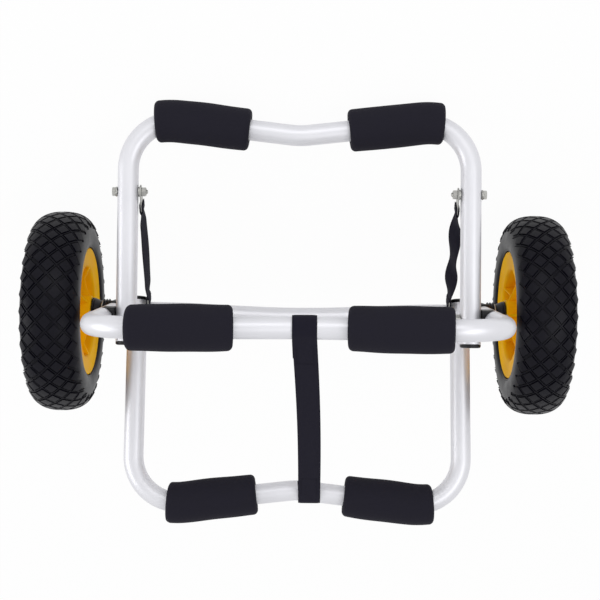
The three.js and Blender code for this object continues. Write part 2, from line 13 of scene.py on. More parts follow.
import bmesh
import bpy
import numpy as np
from mathutils import Matrix, Vector


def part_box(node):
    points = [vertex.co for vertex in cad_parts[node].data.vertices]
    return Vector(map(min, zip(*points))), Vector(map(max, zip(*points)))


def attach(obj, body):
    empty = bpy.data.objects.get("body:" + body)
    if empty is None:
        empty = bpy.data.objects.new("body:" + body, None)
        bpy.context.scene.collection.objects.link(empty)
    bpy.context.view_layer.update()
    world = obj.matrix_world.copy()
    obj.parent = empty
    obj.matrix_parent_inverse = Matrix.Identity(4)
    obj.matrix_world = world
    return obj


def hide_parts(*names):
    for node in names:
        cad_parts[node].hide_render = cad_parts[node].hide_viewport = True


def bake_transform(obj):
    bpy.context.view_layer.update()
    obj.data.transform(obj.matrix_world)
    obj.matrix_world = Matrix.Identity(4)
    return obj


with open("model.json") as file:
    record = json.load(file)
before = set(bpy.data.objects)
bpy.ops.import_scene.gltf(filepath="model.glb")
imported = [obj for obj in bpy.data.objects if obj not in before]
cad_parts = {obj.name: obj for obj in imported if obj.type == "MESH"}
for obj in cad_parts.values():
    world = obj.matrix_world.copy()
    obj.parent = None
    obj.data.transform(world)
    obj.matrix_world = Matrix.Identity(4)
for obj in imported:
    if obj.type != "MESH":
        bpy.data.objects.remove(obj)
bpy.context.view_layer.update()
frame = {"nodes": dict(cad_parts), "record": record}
record = frame["record"]
bodies = record["behaviour"]["bodies"]
body_of_node = {node: body for body, nodes in bodies.items() for node in nodes}
slot_of_node = {part["node"]: part["material_slot"] for part in record["subparts"]}

# %% [markdown]
# The whole cart is worked out in the frame of its axle: +X to the right, +Z along the line to
# the camera. One matrix turns that frame to the ground. The three tubes then have frames of
# their own, with +Z up their legs, so that a tube, its sleeves and its caps are all made upright
# and put in place by one matrix.

# %% Frames of the axle and of the three tubes
MM = 0.001
DEGREES = pi / 180
AXLE_TURN = -46.325 * DEGREES
MAIN_LEAN, ARM_LEAN, STAND_LEAN = 3.5 * DEGREES, 81.8 * DEGREES, 91.7 * DEGREES
HINGE_REACH = 103


def turn_x(angle):
    return Matrix.Rotation(angle, 4, "X")


def moved(x=0.0, y=0.0, z=0.0):
    """A move in millimetres."""
    return Matrix.Translation((x * MM, y * MM, z * MM))


low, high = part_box("axle_pin_left")
axle_centre = Vector((0, (low[1] + high[1]) / 2, (low[2] + high[2]) / 2))
axle_frame = Matrix.Translation(axle_centre) @ turn_x(AXLE_TURN)
main_frame = axle_frame @ turn_x(MAIN_LEAN)
arm_frame = axle_frame @ turn_x(ARM_LEAN)
hinge_centre = main_frame @ Vector((0, 0, HINGE_REACH * MM))
stand_frame = Matrix.Translation(hinge_centre) @ turn_x(AXLE_TURN - STAND_LEAN)
print("axle", axle_centre, "hinge", hinge_centre)

# %% [markdown]
# The photograph was taken from above and in front, with the stand at the top of the picture. The
# camera looks down the axle frame's +Z line.

# %% Camera
CAMERA_DISTANCE, CAMERA_OFFSET, CAMERA_ROLL = 1600, (1.75, 16.7), 0.54 * DEGREES
FOCAL_PIXELS, FRAME_PIXELS, SENSOR = 1247, 600, 36


def new_object(name, data):
    made = bpy.data.objects.new(name, data)
    bpy.context.scene.collection.objects.link(made)
    return made


camera = new_object("camera", bpy.data.cameras.new("camera"))
camera.data.sensor_width = SENSOR
camera.data.lens = SENSOR * FOCAL_PIXELS / FRAME_PIXELS
camera_place = moved(*CAMERA_OFFSET, CAMERA_DISTANCE)
camera.matrix_world = axle_frame @ camera_place @ Matrix.Rotation(CAMERA_ROLL, 4, "Z")
bpy.context.scene.camera = camera
bpy.context.scene.view_settings.view_transform = "Standard"
print("lens in mm", camera.data.lens)

# %% [markdown]
# Materials and Geometry Nodes are both trees of nodes. Wiring each Math node by hand hides the
# formula, so one small class wraps a socket and lets Python's own operators add the nodes: `1 -
# mask * 0.5` makes two. Every other node comes from the same `make`, which sets the node's
# settings first and then its sockets.


# %% A socket that Python can calculate with
class Wire:
    def __init__(self, socket):
        self.socket = socket

    @classmethod
    def make(cls, tree, kind, values=None, settings=None, output=0):
        made = tree.nodes.new(kind)
        for key, value in (settings or {}).items():
            setattr(made, key, value)
        for key, value in (values or {}).items():
            if isinstance(value, cls):
                tree.links.new(value.socket, made.inputs[key])
            else:
                made.inputs[key].default_value = value
        return cls(made.outputs[output])

    def beside(self, output):
        """Another output of the same node."""
        return Wire(self.socket.node.outputs[output])

    def math(self, operation, *others):
        """A Math node on this value and others."""
        sockets = dict(enumerate((self, *others)))
        return Wire.make(self.socket.id_data, "ShaderNodeMath", sockets, {"operation": operation})

    __add__ = __radd__ = partialmethod(math, "ADD")
    __sub__ = partialmethod(math, "SUBTRACT")
    __mul__ = __rmul__ = partialmethod(math, "MULTIPLY")
    __truediv__ = partialmethod(math, "DIVIDE")
    __pow__ = partialmethod(math, "POWER")
    __mod__ = partialmethod(math, "FLOORED_MODULO")
    __abs__ = partialmethod(math, "ABSOLUTE")
    sin = partialmethod(math, "SINE")
    cos = partialmethod(math, "COSINE")
    floor = partialmethod(math, "FLOOR")

    def __rsub__(self, other):
        return self.math("MULTIPLY_ADD", -1.0, other)

    def clamp(self, low, high):
        return self.math("MINIMUM", high).math("MAXIMUM", low)


# %% [markdown]
# Each finish is one Principled shader. What makes it real is small: a mottle in the colour, a
# change in gloss, and a bump at the size of the real grain. The textures read object coordinates
# in metres, so a scale of 900 means grains of about a millimetre.


# %% Shared parts of the finishes
class Finish:
    """A Principled material, and the ways in which its look can change over a surface."""

    def __init__(self, name, metallic=0.0, specular=0.5):
        self.material = bpy.data.materials.new(name)
        self.material.use_nodes = True
        self.tree = self.material.node_tree
        self.shader = self.tree.nodes["Principled BSDF"]
        self.shader.inputs["Metallic"].default_value = metallic
        self.shader.inputs["Specular IOR Level"].default_value = specular

    def texture(self, kind, **sockets):
        sockets["Vector"] = Wire.make(self.tree, "ShaderNodeTexCoord", output="Object")
        return Wire.make(self.tree, "ShaderNodeTex" + kind, sockets)

    def noise(self, scale, detail=3.0, roughness=0.5):
        return self.texture("Noise", Scale=scale, Detail=detail, Roughness=roughness)

    def drive(self, socket, value):
        self.tree.links.new(value.socket, self.shader.inputs[socket])

    def mottle(self, mask, dark, light):
        """Paint between two colours by a mask from 0 to 1."""
        colors = {"Factor": mask, 6: (*dark, 1), 7: (*light, 1)}
        settings = {"data_type": "RGBA"}
        self.drive("Base Color", Wire.make(self.tree, "ShaderNodeMix", colors, settings, 2))

    def bump(self, height, strength, distance):
        sockets = {"Height": height, "Strength": strength, "Distance": distance}
        self.drive("Normal", Wire.make(self.tree, "ShaderNodeBump", sockets))


# %% [markdown]
# The tubes are aluminium with a satin silver coat. The coat is fine-grained, so it blurs the
# lamps into soft bands along each tube, and a slow mottle makes them a little uneven.
# Zinc-plated bolts are duller and more mottled.

# %% Metals
silver = Finish("silver_coat", metallic=0.42)
cloud, grain = silver.noise(24, 4), silver.noise(1500, 2)
silver.mottle(cloud, (0.71, 0.71, 0.752), (0.77, 0.77, 0.805))
silver.drive("Roughness", 0.35 + 0.08 * cloud + 0.04 * grain)
silver.bump(grain + 0.5 * silver.noise(260, 2), 0.12, 0.0002)

zinc = Finish("zinc_plate", metallic=1.0)
zinc.mottle(zinc.noise(160, 4), (0.3, 0.3, 0.29), (0.6, 0.595, 0.565))
zinc.drive("Roughness", 0.24 + 0.3 * zinc.noise(420))
zinc.bump(zinc.noise(1300), 0.2, 0.0001)

# %% [markdown]
# The sleeves are closed-cell foam: a matte blue-black skin full of tiny pits. A Voronoi texture
# gives the pits, and a slow noise makes the skin a little uneven, as foam is where it has been
# cut and squeezed.

# %% Foam
foam = Finish("sleeve_foam", specular=0.16)
cells, cloud = foam.texture("Voronoi", Scale=1150.0), foam.noise(45, 4)
foam.mottle(cloud, (0.009, 0.0083, 0.0145), (0.0135, 0.0125, 0.021))
foam.drive("Roughness", 0.68 + 0.2 * cloud + 0.08 * cells)
foam.bump(cells + 1.6 * foam.noise(320), 0.28, 0.00025)

# %% [markdown]
# Webbing is woven on a narrow loom: fine ribs run across it, and warp threads run along it. The
# weave follows the strap, so it reads the strap's UV map, which holds millimetres across and
# along.

# %% Webbing
WARP_PITCH, WEFT_PITCH = 1.3, 1.6

webbing = Finish("strap_webbing", specular=0.18)
uv = Wire.make(webbing.tree, "ShaderNodeUVMap")
across = Wire.make(webbing.tree, "ShaderNodeSeparateXYZ", {0: uv})
along = across.beside(1)
warp = (across * (tau / WARP_PITCH)).sin()
weft = (along * (tau / WEFT_PITCH) + pi * (across / WARP_PITCH).floor()).sin()
weave = 0.5 + 0.25 * warp + 0.25 * weft
mask = weave * 0.7 + 0.3 * webbing.noise(300)
webbing.mottle(mask, (0.003, 0.0025, 0.007), (0.0115, 0.0102, 0.0225))
webbing.drive("Roughness", 0.9 - 0.18 * weave)
webbing.bump(weave, 0.55, 0.0004)

# %% [markdown]
# Two plastics and a rubber finish the rest. Moulded black plastic has a spark-eroded grain. The
# yellow rims are smoother and hardly shine. Tyre rubber is near black and a little cloudy.

# %% Plastics and rubber
plastic = Finish("black_plastic", specular=0.3)
grain = plastic.noise(900)
plastic.mottle(plastic.noise(90), (0.003, 0.0029, 0.0042), (0.0065, 0.0062, 0.0085))
plastic.drive("Roughness", 0.34 + 0.22 * grain)
plastic.bump(grain, 0.3, 0.0002)

yellow = Finish("yellow_plastic", specular=0.03)
cloud = yellow.noise(30, 4)
yellow.mottle(cloud, (1.0, 0.47, 0.001), (1.0, 0.58, 0.004))
yellow.drive("Roughness", 0.36 + 0.16 * cloud + 0.06 * yellow.noise(700, 2))
yellow.bump(yellow.noise(480), 0.12, 0.0002)

rubber = Finish("tyre_rubber", specular=0.12)
cloud = rubber.noise(55, 5, roughness=0.65)
rubber.mottle(cloud, (0.0022, 0.002, 0.0045), (0.0054, 0.005, 0.0098))
rubber.drive("Roughness", 0.26 + 0.26 * cloud)
rubber.bump(rubber.noise(750, 4), 0.35, 0.00025)

FINISHES = {"silver_tube": silver, "steel": zinc, "foam": foam, "webbing": webbing,
            "black_plastic": plastic, "tyre": rubber, "yellow_plastic": yellow}

# %% [markdown]
# Every piece ends the same way. Its place is in its mesh, its object sits at the origin, and it
# takes slot and finish from the imported node that it stands for, and its body too, except fabric
# over a joint, which is attached to no body. `baked` turns live modifiers into a plain mesh.

# %% From a mesh to a finished piece
WELD = 1e-6


def mesh_object(name, points, faces, uvs=None):
    mesh = bpy.data.meshes.new(name)
    mesh.from_pydata([tuple(p) for p in points], [], faces)
    if uvs is not None:
        layer = mesh.uv_layers.new(name="UVMap")
        corners = np.array([uvs[v] for face in faces for v in face], dtype=np.float32)
        layer.data.foreach_set("uv", corners.ravel())
    return new_object(name, mesh)


def baked(source, place=Matrix()):
    bpy.context.view_layer.update()
    graph = bpy.context.evaluated_depsgraph_get()
    mesh = bpy.data.meshes.new_from_object(source.evaluated_get(graph))
    name = source.name
    bpy.data.objects.remove(source)
    mesh.name = name
    mesh.transform(place)
    return new_object(name, mesh)


def outward(piece, weld=True):
    """Turn every face out, shell by shell."""
    shape = bmesh.new()
    shape.from_mesh(piece.data)
    if weld:
        bmesh.ops.remove_doubles(shape, verts=shape.verts, dist=WELD)
    bmesh.ops.recalc_face_normals(shape, faces=shape.faces)
    shape.to_mesh(piece.data)
    shape.free()
    return piece


def smooth(piece, angle):
    piece.data.shade_smooth()
    piece.data.set_sharp_from_angle(angle=angle * DEGREES)
    return piece


def joined(name, pieces):
    shape = bmesh.new()
    for piece in pieces:
        shape.from_mesh(piece.data)
        bpy.data.objects.remove(piece)
    mesh = bpy.data.meshes.new(name)
    shape.to_mesh(mesh)
    shape.free()
    return new_object(name, mesh)


def dress(piece, node, angle=38, across=None):
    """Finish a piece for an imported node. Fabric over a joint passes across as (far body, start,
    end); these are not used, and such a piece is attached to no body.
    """
    slot = slot_of_node[node]
    smooth(piece, angle)
    piece.data.materials.clear()
    piece.data.materials.append(FINISHES[slot].material)
    if across is None:
        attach(piece, body_of_node[node])
    else:
        far_body, start, end = across
        tuple(start)
        tuple(end)
        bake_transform(piece)
    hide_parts(node)
    print(piece.name, "faces", len(piece.data.polygons))
    return piece


# %% [markdown]
# Bolts, washers, bushes, caps and rims are turned shapes. A profile of (radius, height) corners
# is spun round +Z and then put in place by a matrix. A hexagon's head has its corners cut by a
# cone, which leaves the small arcs that show on every real bolt.

# %% Turned shapes
NEAR_AXIS = 0.01


def polar(radius, turn, height=0.0):
    return Vector((radius * cos(turn), radius * sin(turn), height))


def net(rows, columns):
    """The faces of rows of points that close on themselves both ways."""
    faces = []
    for row in range(rows):
        here, after = row * columns, (row + 1) % rows * columns
        for i in range(columns):
            j = (i + 1) % columns
            faces.append((here + i, here + j, after + j, after + i))
    return faces


def mirrored(half, middle=()):
    """A loop whose second half is the first one upside down."""
    return [*half, *middle, *[(radius, -height) for radius, height in reversed(half)]]


def turned(name, profile, place=Matrix(), around=48):
    """Spin a closed loop of (radius, height) corners, in millimetres."""
    corners = [(max(radius, NEAR_AXIS) * MM, height * MM) for radius, height in profile]
    turns = [tau * i / around for i in range(around)]
    points = [place @ polar(r, t, h) for t in turns for r, h in corners]
    return outward(mesh_object(name, points, net(around, len(corners))))


def along_x(side):
    """A place whose +Z runs along the axle, away from the middle of the cart."""
    return Matrix.Rotation(side * pi / 2, 4, "Y")


def soft_ring(inner, outer, low, high, edge):
    """The loop of a ring whose outer edges are chamfered twice."""
    half = edge * 0.3
    return [(inner, low), (outer - edge, low), (outer - half, low + half), (outer, low + edge),
            (outer, high - edge), (outer - half, high - half), (outer - edge, high), (inner, high)]


def hexagon(name, across, low, high, place, hole=NEAR_AXIS):
    half, cone, flat, steps = across / 2, 0.75, 0.94, 36
    turns = [tau * i / steps for i in range(steps)]
    reaches = [half / cos((turn + pi / 6) % (pi / 3) - pi / 6) for turn in turns]
    rings = [[(reach, low) for reach in reaches],
             [(reach, high - (reach - half) * cone) for reach in reaches],
             [(half * flat, high)] * steps, [(hole, high)] * steps, [(hole, low)] * steps]
    points = [place @ (polar(r, t, h) * MM) for ring in rings for (r, h), t in zip(ring, turns)]
    return outward(mesh_object(name, points, net(len(rings), steps)))


def threaded(radius, low, high, pitch=1.0, depth=0.35):
    """The loop of a threaded shank with a chamfered tip."""
    loop = [(0, low)]
    turns = int((high - low - radius * 0.4) / pitch)
    for i in range(turns):
        at = low + i * pitch
        loop += [(radius, at), (radius, at + pitch * 0.35), (radius - depth, at + pitch * 0.7)]
    return loop + [(radius, low + turns * pitch), (radius * 0.6, high), (0, high)]


# %% [markdown]
# A frame tube is a main piece whose shape follows a rule: a straight leg, a bend, a shallow dip
# in the middle of the bar, and the same again. The rule gives points on its centreline. Geometry
# Nodes then sweep a round section along that line, so one tree makes all four tubes of the cart.


# %% The centreline of a bent frame
class FrameLine:
    """A frame's centreline by the distance from the middle of its bar, in millimetres."""

    bend, dip_bend, dip = 58, 90, 16

    def __init__(self, half, crest, foot):
        radii = self.bend + self.dip_bend
        run, fall = half - self.bend, radii - self.dip
        self.half, self.crest, self.run = half, crest, run
        self.slope = asin(radii / hypot(run, fall)) - atan2(fall, run)
        self.dip_end = self.dip_bend * self.slope
        self.bend_start = self.dip_end + sqrt(run ** 2 + fall ** 2 - radii ** 2)
        self.leg_start = self.bend_start + self.bend * (pi / 2 + self.slope)
        self.end = self.leg_start + crest - self.bend + foot

    def at(self, distance):
        """The point and the direction there."""
        side, s = (-1 if distance < 0 else 1), abs(distance)
        floor = self.crest - self.dip
        if s <= self.bend_start:
            turn, on = min(s / self.dip_bend, self.slope), max(0, s - self.dip_end)
            x = self.dip_bend * sin(turn) + on * cos(turn)
            z = floor + self.dip_bend * (1 - cos(turn)) + on * sin(turn)
        elif s <= self.leg_start:
            turn = self.slope - (s - self.bend_start) / self.bend
            x = self.run - self.bend * sin(turn)
            z = self.crest - self.bend + self.bend * cos(turn)
        else:
            turn, x, z = -pi / 2, self.half, self.crest - self.bend - (s - self.leg_start)
        return Vector((side * x, 0, z)), Vector((cos(turn), 0, side * sin(turn)))

    def points(self, step=4.0):
        count = int(2 * self.end / step)
        return [self.at(-self.end + 2 * self.end * i / count)[0] for i in range(count + 1)]


FOLD_HALF, MAIN_HALF = 206.5, 233.7
ARM_FOOT, STAND_FOOT = 14.5, 28.1
main_line = FrameLine(MAIN_HALF, crest=246, foot=14)
arm_line = FrameLine(FOLD_HALF, crest=241, foot=ARM_FOOT)
stand_line = FrameLine(FOLD_HALF, crest=237.2, foot=STAND_FOOT)
print("tube lengths in mm", [round(2 * line.end) for line in (main_line, arm_line, stand_line)])


# %% A Geometry Nodes tree, and the one that sweeps a tube along a curve
class Nodes:
    """A tree with geometry in and out and inputs by name."""

    def __init__(self, name, **inputs):
        self.tree = bpy.data.node_groups.new(name, "GeometryNodeTree")
        self.keys = {}
        for label, kind in {"Geometry": "Geometry", **inputs}.items():
            made = self.tree.interface.new_socket(label, socket_type="NodeSocket" + kind)
            self.keys[label] = made.identifier
        self.tree.interface.new_socket(
            "Geometry", in_out="OUTPUT", socket_type="NodeSocketGeometry")
        entry = self.tree.nodes.new("NodeGroupInput")
        self.wires = {socket.name: Wire(socket) for socket in entry.outputs if socket.name}

    def make(self, kind, *details):
        return Wire.make(self.tree, "GeometryNode" + kind, *details)

    def deliver(self, geometry, flat=False):
        """The end of every tree: shading, real faces and a material."""
        shading = {"Shade Smooth": not flat}
        for kind in ("SetShadeSmooth", "RealizeInstances", "SetMaterial"):
            geometry = self.make(kind, {"Geometry": geometry, **shading})
            shading = {}
        self.tree.links.new(geometry.socket, self.tree.nodes.new("NodeGroupOutput").inputs[0])

    def run(self, host, place=Matrix(), **values):
        """Set the inputs by identifier, evaluate the host once and keep the plain mesh."""
        modifier = host.modifiers.new("nodes", "NODES")
        modifier.node_group = self.tree
        for label, value in values.items():
            modifier[self.keys[label]] = value
        return baked(host, place)


sweep = Nodes("sweep_tube", radius="Float", sides="Int")
circle = sweep.make("CurvePrimitiveCircle", {
    "Resolution": sweep.wires["sides"], "Radius": sweep.wires["radius"]}, {"mode": "RADIUS"})
sweep.deliver(sweep.make("CurveToMesh", {
    "Curve": sweep.wires["Geometry"], "Profile Curve": circle, "Fill Caps": True}))


def line_object(name, points):
    """A curve of one open line through points in millimetres."""
    curve = bpy.data.curves.new(name, "CURVE")
    curve.dimensions = "3D"
    spline = curve.splines.new("POLY")
    spline.points.add(len(points) - 1)
    for spot, point in zip(spline.points, points):
        spot.co = (*(Vector(point) * MM), 1)
    return new_object(name, curve)


# %% The four tubes
TUBE_RADIUS, TUBE_SIDES = 12.5, 56
AXLE_BOW, AXLE_TUBE_HALF = 5.8, 190.0


def tube(name, points, place, node):
    swept = sweep.run(line_object(name, points), place, radius=TUBE_RADIUS * MM, sides=TUBE_SIDES)
    dress(outward(swept), node)


tube("main_frame_tube", main_line.points(), main_frame, "main_tube")
tube("rear_arm_tube", arm_line.points(), arm_frame, "arm_tube")
tube("stand_frame_tube", stand_line.points(), stand_frame, "stand_tube")
bow = [Vector((x, -AXLE_BOW * (1 + cos(pi * x / AXLE_TUBE_HALF)) / 2, 0))
       for x in np.linspace(-AXLE_TUBE_HALF, AXLE_TUBE_HALF, 61)]
tube("axle_cross_tube", bow, axle_frame, "axle_tube")

# %% [markdown]
# A foam sleeve is a thick tube pushed over the bar. It could be a cylinder with a bevel, but
# real foam swells a little in the middle, pulls in at its cut ends and bends with the bar. So
# the sleeve is a profile that is spun round the bar's own centreline, with slow waves that keep
# it from looking machined.

# %% Foam sleeves
SLEEVE_RADIUS, SLEEVE_CROWN, SLEEVE_EDGE = 25.3, 0.8, 6.0
SLEEVE_AROUND = 72
STIFFNESS, END_LEAN = 0.5, 4 * DEGREES


def sleeve_profile(half):
    """(radius, along) from the middle of the top bore round the outside to the bottom one."""
    bore = [(TUBE_RADIUS + wider, half - inside)
            for wider, inside in ((0.15, 5.0), (0.35, 2.2), (1.4, 0.7), (3.2, 0.1))]
    edge = [(SLEEVE_RADIUS - SLEEVE_EDGE * (1 - sin(t)), half - SLEEVE_EDGE * (1 - cos(t)))
            for t in np.linspace(0, pi / 2, 9)]
    side = [(SLEEVE_RADIUS + SLEEVE_CROWN * cos(pi * u / 2), u * (half - SLEEVE_EDGE))
            for u in np.linspace(0.92, -0.92, 26)]
    return mirrored(bore + edge, side)


def stiff_line(line, along):
    """The sleeve's own centreline: past the start of the bend the foam stays nearly straight."""
    spot, direction = line.at(along)
    past = abs(along) - line.bend_start
    if past <= 0:
        return spot, direction
    side = copysign(1, along)
    start, ahead = line.at(side * line.bend_start)
    straight = start + ahead * (side * past)
    square = Vector((cos(END_LEAN), 0, -side * sin(END_LEAN)))
    return spot.lerp(straight, STIFFNESS), ahead.lerp(square, min(1, past / 20)).normalized()


def foam_sleeve(name, line, middle, length, spread, place, node, seed):
    middle, length = middle + copysign(spread / 2, middle), length + spread
    phase = np.random.default_rng(seed).uniform(0, tau, 4)
    profile = sleeve_profile(length / 2)
    points = []
    for radius, along in profile:
        bore_spot = line.at(middle + along)[0]
        skin_spot, direction = stiff_line(line, middle + along)
        share = (radius - TUBE_RADIUS - 0.4) / (SLEEVE_RADIUS - TUBE_RADIUS - 4)
        share = min(1.0, max(0.0, share))
        spot = bore_spot.lerp(skin_spot, share)
        normal = Vector((-direction.z, 0, direction.x))
        for i in range(SLEEVE_AROUND):
            turn = tau * i / SLEEVE_AROUND
            wave = 0.3 * sin(2 * turn + phase[0] + along / 31)
            wave += 0.2 * sin(3 * turn + phase[1] - along / 17)
            wave += 0.2 * sin(along / 9 + phase[2]) * sin(turn + phase[3])
            reach = radius + wave * share
            deep = Vector((0, reach * sin(turn), 0))
            points.append(place @ ((spot + normal * (reach * cos(turn)) + deep) * MM))
    sleeve = outward(mesh_object(name, points, net(len(profile), SLEEVE_AROUND)))
    dress(sleeve, node, 50)


# name, line, length, spread of the outer end, frame, middles left and right
SLEEVES = [("main", main_line, 116, 0.0, main_frame, (-130, 113.5)),
           ("arm", arm_line, 110, 2.5, arm_frame, (-106, 114)),
           ("stand", stand_line, 110, 5.0, stand_frame, (-115.5, 114.5))]
for number, (name, line, length, spread, place, middles) in enumerate(SLEEVES):
    for side_name, middle in zip(("left", "right"), middles):
        foam_sleeve(f"{name}_sleeve_{side_name}", line, middle, length, spread, place,
                    f"{name}_pad_{side_name}", 7 * number + (side_name == "right"))

# %% [markdown]
# The hardware sits along the axle line. Each piece is a turned shape, written as its profile and
# the place that it has on the real cart. Left and right are the same, so a loop makes both.

# %% Caps, washers, spacers, pins and clips
SIDES = {"left": -1, "right": 1}
GAP, WASHER, BUSH_FLANGE, BORE = 0.3, 1.6, 3, 6.35
INNER_FACE = FOLD_HALF - TUBE_RADIUS - GAP
TAB_FACE = INNER_FACE - WASHER - GAP
BOSS_FACE = MAIN_HALF + 16
WHEEL_MIDDLE, HUB_HALF = 300, 36
HUB_INNER, HUB_OUTER = WHEEL_MIDDLE - HUB_HALF, WHEEL_MIDDLE + HUB_HALF
STACK_END = HUB_OUTER + BUSH_FLANGE + WASHER + 2 * GAP


def end_cap(label, name, foot, group):
    """A push-in cap: a domed rim as wide as the tube, and a plug inside it."""
    low, rim, top = -foot - GAP - 4.5, -foot - GAP, -foot + 7
    loop = [(0, low), (9.0, low), (11.0, low + 0.3), (12.0, low + 0.9), (12.5, low + 1.9),
            (12.5, rim), (9.9, rim), (9.9, -foot + 6), (9.0, top), (0, top)]
    place = group @ moved(SIDES[name] * FOLD_HALF)
    dress(turned(f"{label}_end_cap_{name}", loop, place), f"{label}_cap_{name}")


def on_axle(label, loop, node, name):
    place = axle_frame @ along_x(SIDES[name])
    dress(turned(f"{label}_{name}", loop, place), f"{node}_{name}")


def axle_washer(label, outer, start, node, name):
    on_axle("washer_of_" + label, soft_ring(BORE, outer, start, start + WASHER, 0.4), node, name)


for name in SIDES:
    end_cap("arm", name, ARM_FOOT, arm_frame)
    end_cap("stand", name, STAND_FOOT, stand_frame)
    start, end = FOLD_HALF - TUBE_RADIUS - 46, STACK_END + 15
    on_axle("pin", [(0, start), (5.2, start), (6, start + 0.8), (6, end - 1.2), (4.8, end),
                    (0, end)], "axle_pin", name)
    axle_washer("pin", 13.5, TAB_FACE + GAP, "pin_washer", name)
    axle_washer("boss", 13.5, BOSS_FACE + GAP, "inner_washer", name)
    start, end = BOSS_FACE + 2 * GAP + WASHER, HUB_INNER - BUSH_FLANGE - GAP
    on_axle("spacer", [(BORE, start), (13.0, start), (13.7, start + 0.7), (16.6, end - 1.4),
                       (16.9, end - 0.6), (16.4, end), (BORE, end)], "wheel_spacer", name)
    axle_washer("wheel", 15, HUB_OUTER + BUSH_FLANGE + GAP, "outer_washer", name)

# %% [markdown]
# A wire clip holds each wheel on its pin: a straight leg through the pin's cross hole, and a
# ring that swings over the pin's end. Both are wire, so the tube tree sweeps them, and the two
# shells become one piece.

# %% Wheel clips
CLIP_AT, CLIP_WIRE, CLIP_RING, CLIP_LOW = STACK_END + 8, 1.5, 13, 9
for name, side in SIDES.items():
    x = side * CLIP_AT
    leg = [Vector((x, 0, z)) for z in np.linspace(-9.4, 7.4, 6)]
    ring = [Vector((x, CLIP_RING * sin(t), CLIP_RING - CLIP_LOW - CLIP_RING * cos(t)))
            for t in np.linspace(0, tau - 0.16, 60)]
    wires = [sweep.run(line_object("clip_part", line), axle_frame, radius=CLIP_WIRE * MM, sides=14)
             for line in (leg, ring)]
    dress(outward(joined("wheel_clip_wire_" + name, wires)), "wheel_clip_" + name)

# %% [markdown]
# Each main leg ends in a moulded block: a cup round the foot of the tube, and a ribbed boss that
# the axle pin runs through. The block is two turned shells that pass into each other.

# %% Axle blocks
CUP = [(12.65, 26), (13.9, 26), (14.6, 25.2), (14.7, 24.2), (14.7, 20.5), (15.3, 19.8),
       (15.3, 17.2), (14.7, 16.5), (14.7, -16.5), (13.8, -18.0), (12.0, -18.4), (0, -18.4),
       (0, -14.4), (12.65, -14.4)]
BOSS = [(BORE, MAIN_HALF + 9), (12.2, MAIN_HALF + 9)]
for at in (BOSS_FACE - 6.8, BOSS_FACE - 3.4, BOSS_FACE):
    BOSS += [(12.4, at - 3.2), (12.6, at - 1.9), (15.3, at - 1.7), (15.9, at - 1.2),
             (15.9, at - 0.5), (15.3, at)]
BOSS += [(13.2, BOSS_FACE), (BORE, BOSS_FACE)]
for name, side in SIDES.items():
    shells = [turned("cup", CUP, main_frame @ moved(side * MAIN_HALF)),
              turned("boss", BOSS, axle_frame @ along_x(side))]
    dress(joined("axle_end_block_" + name, shells), "axle_block_" + name)

# %% [markdown]
# Saddles and tabs are flat-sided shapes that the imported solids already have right, apart from
# their sharp edges. A copy of each is merged, its loose triangles are dissolved into faces, and
# a bevel rounds the edges that a mould or a press would round.


# %% Saddles and tabs
def bevelled(piece, width, segments, least_angle=None):
    edge = piece.modifiers.new("edge", "BEVEL")
    edge.width, edge.segments = width * MM, segments
    if least_angle:
        edge.limit_method, edge.angle_limit = "ANGLE", least_angle * DEGREES
    return baked(piece)


def softened(name, node, width, segments=3):
    source = frame["nodes"][node]
    mesh = source.data.copy()
    mesh.transform(source.matrix_world)
    shape = bmesh.new()
    shape.from_mesh(mesh)
    bmesh.ops.remove_doubles(shape, verts=shape.verts, dist=20 * WELD)
    bmesh.ops.dissolve_limit(shape, angle_limit=2 * DEGREES, verts=shape.verts, edges=shape.edges)
    shape.to_mesh(mesh)
    shape.free()
    dress(bevelled(new_object(name, mesh), width, segments, 50), node)


for name in SIDES:
    softened("hinge_saddle_" + name, "saddle_" + name, 1.0)
    softened("strap_tab_upper_" + name, "stand_tab_" + name, 0.35, 2)
    softened("strap_tab_lower_" + name, "axle_tab_" + name, 0.35, 2)

# %% [markdown]
# The hinge bolts and the strap bolts are hexagon bolts with nuts. Only a thread's tip shows past
# each nut, so the thread is a stack of rings: at this size no eye tells it from a helix.


# %% Bolts and nuts
def bolt(name, place, radius, across, head, height, tip, node):
    flip = moved(z=head + tip) @ turn_x(pi)
    shells = [hexagon("head", across, head, head + height, place),
              turned("shank", threaded(radius, tip, head + 0.5), place @ flip, 32)]
    dress(joined(name, shells), node, 30)


def nut(name, place, radius, across, face, height, node):
    body = hexagon(name, across, -face, -face + height, place @ turn_x(pi), radius + 0.2)
    dress(body, node, 30)


